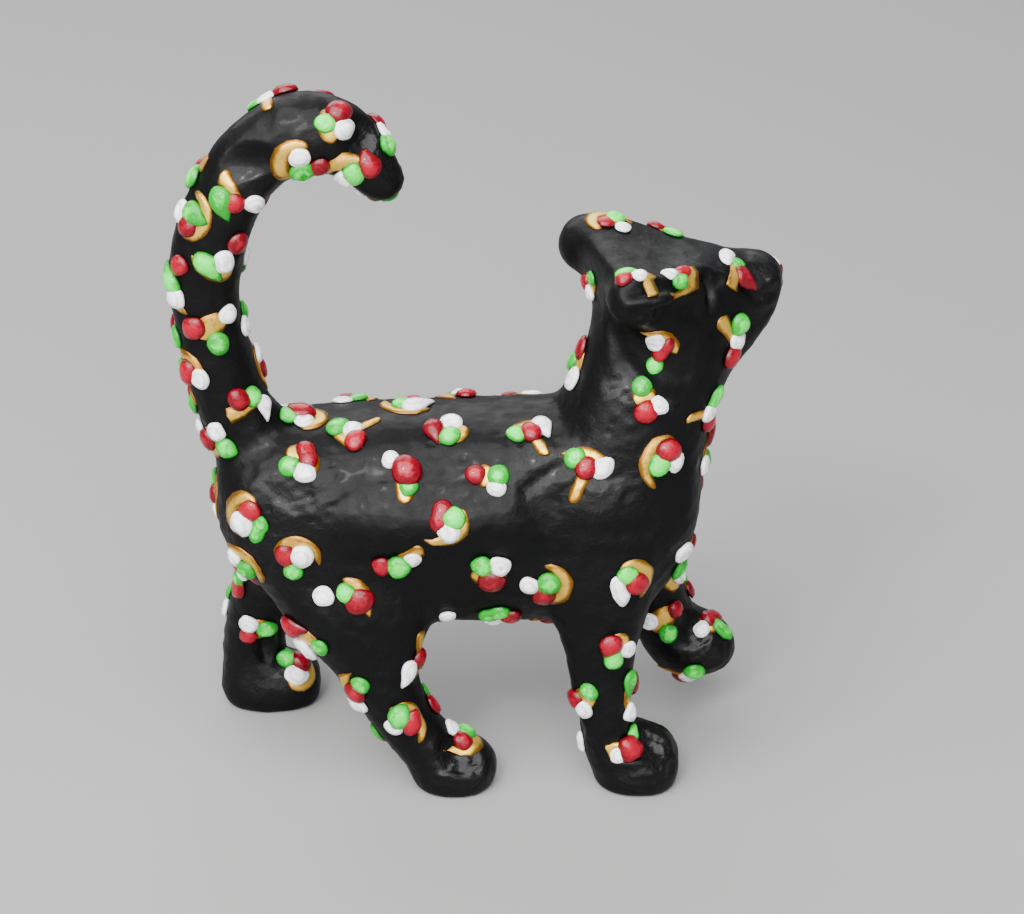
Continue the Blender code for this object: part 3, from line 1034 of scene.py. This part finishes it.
class Pattern(Enum):
    """The few ways in which the heaps are composed."""

    CRADLED = Heap(
        (Stroke.CRADLE,), ((0.35, 0.95, 1.1, 1.2), (0.45, -0.75, 1.0, 0.85), (2.3, 0.5, 0.95, 1.0))
    )
    RINGED = Heap(
        (Stroke.CRADLE,), ((0.0, 0.4, 1.1, 1.15), (0.1, -1.3, 1.05, 0.95), (2.0, -0.7, 1.0, 1.0))
    )
    POOLED = Heap(
        (Stroke.PUDDLE,), ((-1.9, 1.5, 0.95, 1.0), (1.9, 0.5, 1.1, 0.9), (-0.5, -1.4, 1.05, 1.1))
    )
    TRIO = Heap(
        (Stroke.PUDDLE,), ((-0.9, -0.8, 1.0, 1.0), (1.0, -1.0, 1.0, 1.1), (0.5, 1.1, 1.05, 0.95))
    )
    TAILED = Heap(
        (Stroke.COMMA,), ((-2.0, -0.2, 1.0, 1.0), (-0.1, -0.7, 1.0, 1.0), (1.7, -0.6, 1.1, 1.05))
    )
    PERCHED = Heap(
        (Stroke.COMMA,), ((-1.4, -0.5, 0.9, 1.0), (0.5, -0.6, 1.25, 1.15), (1.9, 0.6, 0.85, 0.9))
    )
    SWEPT = Heap(
        (Stroke.SWOOSH,), ((-1.7, -0.3, 1.0, 1.0), (0.0, -0.3, 1.0, 1.1), (1.5, -0.8, 1.0, 0.95))
    )
    FORKED = Heap(
        (Stroke.LEAF, Stroke.TWIG), ((-1.3, -0.5, 1.0, 1.0), (0.3, 0.1, 1.0, 1.1), (1.0, 1.8, 0.95, 1.0))
    )
    HOOKED = Heap(
        (Stroke.HOOK,), ((-0.5, 0.3, 1.0, 1.0), (1.0, 1.1, 1.1, 1.1), (1.1, -0.7, 1.0, 0.9))
    )
    PARTED = Heap(
        (Stroke.LEAF,), ((-0.7, 0.0, 1.05, 1.0), (1.0, 0.5, 1.0, 1.1), (3.3, -0.9, 1.0, 0.9))
    )
    BUTTONED = Heap(
        (Stroke.BLOB,), ((-0.3, -1.0, 1.0, 1.0), (1.3, -0.7, 0.95, 1.05), (0.0, 1.9, 0.9, 0.9))
    )


@dataclass(frozen=True)
class Girdle:
    """A stretch of the cat that is decorated in staggered rings around a route inside it."""

    name: str
    route: tuple[Share, ...]
    ring_gap: float
    per_ring: int
    reach: float
    spacing: float
    phase: float


def leg_girdle(name: str, reach: float, phase: float, *route: Share) -> Girdle:
    """The girdle around one leg, with three heaps to a ring."""
    return Girdle(name, route, 13.5 * MM, 3, reach, 13.0 * MM, phase)


@dataclass(frozen=True)
class DotMould:
    """The shapes of a dried drop of paint: closed domes of radius 1 with a skirt under them."""

    sides: int = 18
    rings: int = 6
    height: float = 0.56
    skirt: float = 0.2
    fullness: float = 0.85
    dimple_aside: float = 0.12
    dimple_radius: float = 0.62
    dimple_depth: float = 0.22
    dimple_limit: float = 0.75
    pulled_out: float = 0.85
    pulled_thin: float = 0.6
    pulled_flat: float = 0.35
    waist_half: float = 0.6
    waist_depth: float = 0.2
    double_length: float = 1.5

    def build(self, bead: Bead) -> bpy.types.Object:
        """Model one shape of drop.

        Args:
            bead: The shape.

        Returns:
            The closed dome.
        """
        deselect_all()
        bpy.ops.mesh.primitive_uv_sphere_add(segments=self.sides, ring_count=self.rings, radius=1.0)
        dome = bpy.context.active_object
        start_editing()
        bpy.ops.mesh.bisect(
            plane_co=(0.0, 0.0, 0.0), plane_no=(0.0, 0.0, 1.0), use_fill=True, clear_inner=True
        )
        extrude_down(self.skirt)
        bpy.ops.transform.resize(value=(1.0, 1.0, self.height))
        finish_editing()
        shape = places_of(dome)
        risen = np.clip(shape[:, 2] / self.height, 0.0, 1.0)
        shape[:, 2] += self.height * (risen**self.fullness - risen)
        if bead is Bead.DIMPLED:
            within = np.hypot(shape[:, 0], shape[:, 1]) < self.dimple_limit
            off_middle = np.hypot(shape[:, 0] - self.dimple_aside, shape[:, 1])
            shape[:, 2] -= self.dimple_depth * rounded_fade(off_middle / self.dimple_radius) * within
        elif bead is Bead.PULLED:
            pull = np.clip(shape[:, 0], 0.0, 1.0) ** 2
            shape[:, 0] += self.pulled_out * pull
            shape[:, 1] *= 1.0 - self.pulled_thin * pull
            shape[:, 2] *= 1.0 - self.pulled_flat * pull
        elif bead is Bead.DOUBLE:
            waist = 1.0 - self.waist_depth * rounded_fade(np.abs(shape[:, 0]) / self.waist_half)
            shape[:, 1:] *= waist[:, None]
            shape[:, 0] *= self.double_length
        set_places(dome, shape)
        return dome


@dataclass(frozen=True)
class StrokeMould:
    """The shapes of a brush mark: closed low mounds along a curve with a skirt under them."""

    steps: int = 22
    lanes: int = 3
    skirt: float = 1.0
    end_width: float = 0.985
    middle_height: float = 0.76
    rim_fall: float = 1.3
    end_fall: float = 1.3

    def build(self, stroke: Stroke) -> bpy.types.Object:
        """Model one brush mark.

        Args:
            stroke: The mark.

        Returns:
            The closed mound.
        """
        deselect_all()
        bpy.ops.mesh.primitive_grid_add(x_subdivisions=self.steps, y_subdivisions=self.lanes, size=2.0)
        mark = bpy.context.active_object
        start_editing()
        extrude_down(self.skirt)
        finish_editing()
        shape = places_of(mark)
        ease = np.sin(0.5 * math.pi * shape[:, 0])
        share = 0.5 * (ease + 1.0)
        pulls = np.array(stroke.value)
        line = self._curve(pulls, share)
        ahead = unit(self._curve(np.diff(pulls, axis=0), share)[:, :2])
        end = np.sqrt(np.clip(1.0 - self.end_width * np.abs(ease) ** 4, 0.0, 1.0))
        reach = line[:, 2] * end * shape[:, 1]
        across = shape[:, 1] ** 2
        crown = self.middle_height + across - self.rim_fall * across**2
        crown *= np.clip(self.end_fall * end, 0.0, 1.0)
        shape[:, 2] = np.where(shape[:, 2] > -0.5 * self.skirt, crown, -self.skirt)
        shape[:, 0] = line[:, 0] - ahead[:, 1] * reach
        shape[:, 1] = line[:, 1] + ahead[:, 0] * reach
        set_places(mark, shape)
        return mark

    @staticmethod
    def _curve(pulls: np.ndarray, share: np.ndarray) -> np.ndarray:
        """Follow a Bezier curve.

        Args:
            pulls: The curve's pulls, one row each.
            share: How far along the curve each wanted row is.

        Returns:
            The rows of the curve.
        """
        order = len(pulls) - 1
        rows = np.zeros((len(share), pulls.shape[1]))
        for place, pull in enumerate(pulls):
            weight = math.comb(order, place) * share**place * (1.0 - share) ** (order - place)
            rows += weight[:, None] * pull
        return rows


@dataclass(frozen=True)
class Laying:
    """Where and how a shape is laid on the skin.

    It lies in the plane that touches the skin at its spot, off the heap's middle by an offset
    in metres, and one unit of its length, width and height becomes the size.
    """

    spot: Spot
    heading: float
    offset: tuple[float, float]
    turn: float
    size: tuple[float, float, float]
    lean: float
    warp: float


@dataclass
class PaintDabs:
    """Every dab of raised paint on the cat, joined into one piece for each paint."""

    box: FrameBox
    probe: SkinProbe
    dot_radius: float = 2.5 * MM
    dot_lengths: tuple[float, ...] = (1.0, 1.0, 1.08, 1.2)
    dot_straying: float = 0.10
    dot_lean: float = 0.25
    closeness: float = 0.84
    heap_scales: tuple[float, float] = (0.92, 1.08)
    stroke_scale: float = 0.80
    stroke_height: float = 0.55 * MM
    stroke_lean: float = 0.85
    stroke_warp: float = 0.20
    sink: float = 0.35 * MM
    floor_gap: float = 10.5 * MM
    ring_straying: float = 0.07
    route_straying: float = 0.8 * MM
    gap_spacing: float = 16.0 * MM
    gap_tries: int = 4000
    lone_dots: int = 4
    lone_dot: Dot = (0.0, 0.0, 0.82, 1.0)
    lone_closeness: float = 0.72
    head_from: Share = (0.66, 0.0, 0.66)
    head_scale: float = 0.84
    seed: int = 5

    # How much of its own place a draped point keeps, so that points which come down on one spot
    # of a sharp edge stay apart and the dab stays closed.
    levelling: float = 0.02

    # The unevenness of each dab's outline: how fine it is, and the range its noise is drawn from.
    warp_scale: float = 0.9
    warp_range: float = 50.0

    # Rings are set out from the line from side to side, unless their route runs along that line.
    least_side: float = 0.3

    # Two heaps whose normals agree by more than this lie on the same side of the cat.
    same_side: float = -0.3

    accents: tuple[Share, ...] = (
        # Along the rims of the ears, and on the bridge of the nose.
        (0.742, 0.21, 0.79), (0.820, 0.29, 0.77), (0.715, 0.72, 0.80), (0.925, 0.52, 0.76),
    )
    girdles: tuple[Girdle, ...] = (
        Girdle(
            "body",
            ((0.085, 0.475, 0.40), (0.45, 0.475, 0.385), (0.835, 0.475, 0.41)),
            ring_gap=11.3 * MM, per_ring=7, reach=36 * MM, spacing=14.0 * MM, phase=0.05,
        ),
        Girdle(
            "tail",
            (
                (0.118, 0.475, 0.50), (0.077, 0.475, 0.603), (0.059, 0.475, 0.70),
                (0.072, 0.475, 0.79), (0.114, 0.475, 0.875), (0.175, 0.475, 0.927),
                (0.242, 0.475, 0.943), (0.303, 0.475, 0.92), (0.345, 0.475, 0.88),
            ),
            ring_gap=8.8 * MM, per_ring=3, reach=14 * MM, spacing=11.0 * MM, phase=0.12,
        ),
        Girdle(
            "head",
            ((0.725, 0.495, 0.735), (0.80, 0.55, 0.725), (0.88, 0.62, 0.70), (0.95, 0.67, 0.695)),
            ring_gap=10.0 * MM, per_ring=5, reach=24 * MM, spacing=11.5 * MM, phase=0.13,
        ),
        Girdle(
            "neck",
            ((0.75, 0.475, 0.48), (0.80, 0.50, 0.62)),
            ring_gap=12.0 * MM, per_ring=5, reach=24 * MM, spacing=13.5 * MM, phase=0.31,
        ),
        leg_girdle(
            "right_front_leg", 14 * MM, 0.2,
            (0.711, 0.225, 0.267), (0.711, 0.199, 0.185), (0.714, 0.182, 0.116), (0.75, 0.182, 0.045),
        ),
        leg_girdle(
            "left_front_leg", 15 * MM, 0.4,
            (0.771, 0.726, 0.278), (0.796, 0.769, 0.203), (0.832, 0.785, 0.139), (0.91, 0.785, 0.10),
        ),
        leg_girdle(
            "right_hind_leg", 20 * MM, 0.55,
            (0.285, 0.225, 0.29), (0.331, 0.190, 0.18), (0.370, 0.182, 0.104), (0.45, 0.173, 0.045),
        ),
        leg_girdle(
            "left_hind_leg", 16 * MM, 0.1,
            (0.146, 0.740, 0.261), (0.111, 0.799, 0.174), (0.086, 0.828, 0.10), (0.11, 0.828, 0.045),
        ),
    )

    def __post_init__(self) -> None:
        """Start the seeded draws and model the shapes that are copied, with nothing laid."""
        self.chance = random.Random(self.seed)
        self.beads = {bead: DotMould().build(bead) for bead in Bead}
        self.strokes = {stroke: StrokeMould().build(stroke) for stroke in Stroke}
        self.laid: dict[Paint, list[bpy.types.Object]] = {paint: [] for paint in Paint}

    def build(self) -> dict[Paint, bpy.types.Object]:
        """Lay every heap of paint.

        Returns:
            One joined object for each paint.
        """
        spots = self._ringed_spots()
        spots += self._gap_spots(spots, self.gap_spacing)
        for spot in spots:
            self._lay_heap(spot)
        gaps = self._gap_spots(spots, self.gap_spacing * self.lone_closeness)
        for spot in gaps[: self.lone_dots]:
            self._lay_dot(spot, 0.0, self.lone_dot, Paint.WHITE)
        for mould in [*self.beads.values(), *self.strokes.values()]:
            bpy.data.objects.remove(mould)
        return {paint: self._joined(paint) for paint in Paint}

    def dress(self, piece: bpy.types.Object, paint: Paint) -> None:
        """Give one paint's piece its finish.

        Args:
            piece: All dabs of the paint, joined.
            paint: The paint.
        """
        piece.data.materials.clear()
        piece.data.materials.append(FINISHES[paint].material())
        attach(piece, BODY)

    def _ringed_spots(self) -> list[Spot]:
        """Find the places of the heaps that lie in staggered rings and keep their distance.

        Returns:
            The accents' spots, and then each girdle's.
        """
        found = [self.probe.nearest(self.box.at(share)) for share in self.accents]
        for girdle in self.girdles:
            before = len(found)
            route = [self.box.at(share) for share in girdle.route]
            for ring, (inside, forward) in enumerate(self._walk(route, girdle.ring_gap)):
                self._add_ring(girdle, 0.5 * (ring % 2), inside, forward, found)
            log.info("%s: %d heaps of paint", girdle.name, len(found) - before)
        return found

    def _add_ring(
        self, girdle: Girdle, stagger: float, inside: Vector, forward: Vector, found: list[Spot]
    ) -> None:
        """Add the free spots of one ring.

        Args:
            girdle: The girdle that the ring is in.
            stagger: How far the ring is turned, as a share of the gap between its heaps.
            inside: The ring's middle, inside the cat.
            forward: The way that the girdle's route runs there.
            found: The spots so far, which grow.
        """
        side = forward.cross(Vector((0.0, 1.0, 0.0)))
        if side.length < self.least_side:
            side = forward.cross(Vector((0.0, 0.0, 1.0)))
        side.normalize()
        up = forward.cross(side)
        for place in range(girdle.per_ring):
            turn = (place + stagger) / girdle.per_ring + girdle.phase
            angle = 2 * math.pi * turn + self.chance.gauss(0.0, self.ring_straying)
            start = inside + forward * self.chance.gauss(0.0, self.route_straying)
            outward = side * math.cos(angle) + up * math.sin(angle)
            spot = self.probe.way_out(start, outward, girdle.reach)
            if spot and self._is_free(spot, found, girdle.spacing):
                found.append(spot)

    def _gap_spots(self, taken: list[Spot], spacing: float) -> list[Spot]:
        """Find places in the gaps that other heaps leave, such as on the chest, hips and ears.

        Args:
            taken: The spots to keep away from.
            spacing: How far to keep from them and from each other.

        Returns:
            The new spots.
        """
        found: list[Spot] = []
        for _ in range(self.gap_tries):
            share = (self.chance.random(), self.chance.random(), self.chance.random())
            spot = self.probe.nearest(self.box.at(share))
            if self._is_free(spot, taken + found, spacing):
                found.append(spot)
        log.info("gaps of %.1f mm: %d places", spacing / MM, len(found))
        return found

    def _is_free(self, spot: Spot, taken: list[Spot], spacing: float) -> bool:
        """Tell whether a spot is off the floor and away from the heaps on its side of the cat.

        Args:
            spot: The spot.
            taken: The spots of the heaps.
            spacing: The least distance between heaps.

        Returns:
            True if a heap can be laid on the spot.
        """
        if spot.place.z < self.box.low.z + self.floor_gap:
            return False
        for other in taken:
            near = (spot.place - other.place).length < spacing
            if near and spot.normal.dot(other.normal) > self.same_side:
                return False
        return True

    @staticmethod
    def _walk(route: list[Vector], gap: float) -> list[tuple[Vector, Vector]]:
        """Step along a route.

        Args:
            route: The route's corners.
            gap: The length of a step.

        Returns:
            The place of each step and the direction there.
        """
        steps = []
        travelled = 0.5 * gap
        passed = 0.0
        for start, end in zip(route, route[1:]):
            run = end - start
            while travelled <= passed + run.length:
                steps.append((start + run * (travelled - passed) / run.length, run.normalized()))
                travelled += gap
            passed += run.length
        return steps

    def _lay_heap(self, spot: Spot) -> None:
        """Lay one heap: its gold, and three dots in red, green and white on it.

        Args:
            spot: The heap's middle on the skin.
        """
        heap = self.chance.choice(list(Pattern)).value
        heading = self.chance.uniform(0.0, 2 * math.pi)
        flip = self.chance.choice((-1, 1))
        length = self.dot_radius * self.chance.uniform(*self.heap_scales) * self.stroke_scale
        size = (length, flip * length, self.stroke_height)
        for stroke in heap.strokes:
            laying = Laying(spot, heading, (0.0, 0.0), heading, size, self.stroke_lean, self.stroke_warp)
            self.laid[Paint.GOLD].append(self._draped(self.strokes[stroke], laying))
        paints = [Paint.RED, Paint.GREEN, Paint.WHITE]
        self.chance.shuffle(paints)
        for paint, (along, across, width, height) in zip(paints, heap.dots):
            width *= self.chance.uniform(*HABITS[paint].sizes)
            self._lay_dot(spot, heading, (along, flip * across, width, height), paint)

    def _fineness(self, spot: Spot) -> float:
        """How large the dots are at a spot, against the body's: smaller on the head."""
        start = self.box.at(self.head_from)
        return self.head_scale if spot.place.x > start.x and spot.place.z > start.z else 1.0

    def _lay_dot(self, spot: Spot, heading: float, dot: Dot, paint: Paint) -> None:
        """Lay one dot of a heap, in a shape and a size of its own.

        Args:
            spot: The heap's middle on the skin.
            heading: How far the heap is turned.
            dot: The dot's place in the heap and its size.
            paint: The dot's paint.
        """
        along, across, width, height = dot
        bead = self.chance.choices(list(Bead), HABITS[paint].odds)[0]
        drop = self.dot_radius * self._fineness(spot)
        radius = drop * width
        offset = (
            drop * (self.closeness * along + self.chance.gauss(0.0, self.dot_straying)),
            drop * (self.closeness * across + self.chance.gauss(0.0, self.dot_straying)),
        )
        size = (radius * self.chance.choice(self.dot_lengths), radius, radius * height)
        turn = self.chance.uniform(0.0, 2 * math.pi)
        laying = Laying(spot, heading, offset, turn, size, self.dot_lean, HABITS[paint].warp)
        self.laid[paint].append(self._draped(self.beads[bead], laying))

    def _draped(self, mould: bpy.types.Object, laying: Laying) -> bpy.types.Object:
        """Copy a shape and lay it on the skin.

        Args:
            mould: The modelled shape.
            laying: Where and how it lies.

        Returns:
            The copy, with its place in its mesh.
        """
        basis = self._tangents(laying.spot.normal, laying.heading)
        offset = basis[0] * laying.offset[0] + basis[1] * laying.offset[1]
        centre = self.probe.nearest(laying.spot.place + offset)
        along, across = self._tangents(centre.normal, laying.turn)
        length, width, height = laying.size
        dab = mould.copy()
        dab.data = mould.data.copy()
        bpy.context.scene.collection.objects.link(dab)
        drawn = [self.chance.uniform(0, self.warp_range) for _ in range(2)]
        wobble = Vector((*drawn, 0.0))
        local = places_of(dab)
        draped = np.empty_like(local)
        for index, (u, v, up) in enumerate(local):
            shift = laying.warp * noise.noise_vector(Vector((u, v, 0.0)) * self.warp_scale + wobble)
            target = centre.place + along * (u + shift.x) * length + across * (v + shift.y) * width
            ground = self.probe.nearest(target)
            outward = ground.normal.lerp(centre.normal, 1.0 - laying.lean).normalized()
            lift = up * height if up > 0 else -self.sink
            draped[index] = ground.place.lerp(target, self.levelling) + outward * lift
        set_places(dab, draped)
        if width < 0:
            dab.data.flip_normals()
        note(dab, "dab_rise", np.clip(local[:, 2] / local[:, 2].max(), 0.0, 1.0))
        note(dab, "dab_tone", np.full(len(local), self.chance.random()))
        return dab

    @staticmethod
    def _tangents(normal: Vector, turn: float) -> tuple[Vector, Vector]:
        """Find two directions along the skin, square to each other.

        Args:
            normal: The skin's normal.
            turn: How far the directions are turned about it.

        Returns:
            The directions along and across.
        """
        first = normal.orthogonal().normalized()
        second = normal.cross(first)
        along = first * math.cos(turn) + second * math.sin(turn)
        return along, normal.cross(along)

    def _joined(self, paint: Paint) -> bpy.types.Object:
        """Join all dabs of one paint into one piece.

        Args:
            paint: The paint.

        Returns:
            The piece, at the origin.
        """
        deselect_all()
        for dab in self.laid[paint]:
            dab.select_set(True)
        bpy.context.view_layer.objects.active = self.laid[paint][0]
        bpy.ops.object.join()
        piece = bpy.context.active_object
        piece.name = paint.value + "_dabs"
        piece.data.name = piece.name
        piece.matrix_world = Matrix.Identity(4)
        piece.data.shade_smooth()
        return piece


# ---- The studio ----


@dataclass(frozen=True)
class Lamp:
    """A soft light: where it hangs, in metres, its two sides and its watts."""

    name: str
    place: tuple[float, float, float]
    width: float
    height: float
    power: float


@dataclass(frozen=True)
class Studio:
    """A pale floor, soft light from above and a long lens looking down on the right side."""

    box: FrameBox
    floor_radius: float = 1.7
    floor_drop: float = 0.02 * MM
    lit: Share = (0.5, 0.5, 0.4)
    aim: Share = (0.5544, 0.475, 0.4667)
    elevation: float = math.radians(28.0)
    distance: float = 0.65
    lens: float = 96.0
    sensor: float = 36.0
    sky: Colour = (0.92, 0.95, 1.0)
    sky_strength: float = 0.35

    lamps: tuple[Lamp, ...] = (
        Lamp("softbox", (-0.25, -0.60, 1.05), 1.7, 1.5, 72.0),
        Lamp("back_light", (-0.30, 0.95, 0.90), 1.3, 1.0, 18.0),
        Lamp("front_light", (-0.10, -1.15, 0.50), 2.0, 0.8, 14.0),
        Lamp("spark_light", (-0.35, -0.75, 0.95), 0.18, 0.18, 7.0),
    )

    def build(self) -> None:
        """Set up the floor, the lights and the camera."""
        self._floor()
        self._lights()
        self._sky()
        self._camera()

    def _floor(self) -> None:
        """Lay a wide pale floor under the cat."""
        deselect_all()
        level = self.box.low.z - self.floor_drop
        bpy.ops.mesh.primitive_circle_add(
            vertices=128, radius=self.floor_radius, fill_type="NGON", location=(0.0, 0.0, level)
        )
        floor = bpy.context.active_object
        floor.name = "studio_floor"
        floor.data.materials.append(PaleFloor().material())

    def _lights(self) -> None:
        """Add the soft lights, each facing the cat."""
        for lamp in self.lamps:
            deselect_all()
            bpy.ops.object.light_add(type="AREA", location=lamp.place)
            light = bpy.context.active_object
            light.name = lamp.name
            light.data.shape = "RECTANGLE"
            light.data.size = lamp.width
            light.data.size_y = lamp.height
            light.data.energy = lamp.power
            light.visible_camera = False
            ahead = self.box.at(self.lit) - Vector(lamp.place)
            light.rotation_euler = ahead.to_track_quat("-Z", "Y").to_euler()

    def _sky(self) -> None:
        """Light the room evenly and weakly from all around."""
        world = bpy.data.worlds.new("studio_air")
        world.use_nodes = True
        background = world.node_tree.nodes["Background"]
        background.inputs["Color"].default_value = (*self.sky, 1.0)
        background.inputs["Strength"].default_value = self.sky_strength
        bpy.context.scene.world = world

    def _camera(self) -> None:
        """Place the camera."""
        deselect_all()
        back = Vector((0.0, -math.cos(self.elevation), math.sin(self.elevation)))
        bpy.ops.object.camera_add(location=self.box.at(self.aim) + back * self.distance)
        camera = bpy.context.active_object
        camera.rotation_euler = (-back).to_track_quat("-Z", "Y").to_euler()
        camera.data.lens = self.lens
        camera.data.sensor_width = self.sensor
        bpy.context.scene.camera = camera


def main() -> None:
    """Build the cat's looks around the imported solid, and the studio around the cat."""
    logging.basicConfig(level=logging.INFO, format="%(name)s: %(message)s")
    noise.seed_set(NOISE_SEED)
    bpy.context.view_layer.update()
    box = FrameBox(*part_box(NODE))
    pulp = PulpSkin(box)
    skin = pulp.build()
    pulp.dress(skin)
    log.info("%s: %d faces", skin.name, len(skin.data.polygons))
    dabs = PaintDabs(box, SkinProbe(skin))
    for paint, piece in dabs.build().items():
        dabs.dress(piece, paint)
        log.info("%s: %d faces", piece.name, len(piece.data.polygons))
    Studio(box).build()


if __name__ == "__main__":
    main()
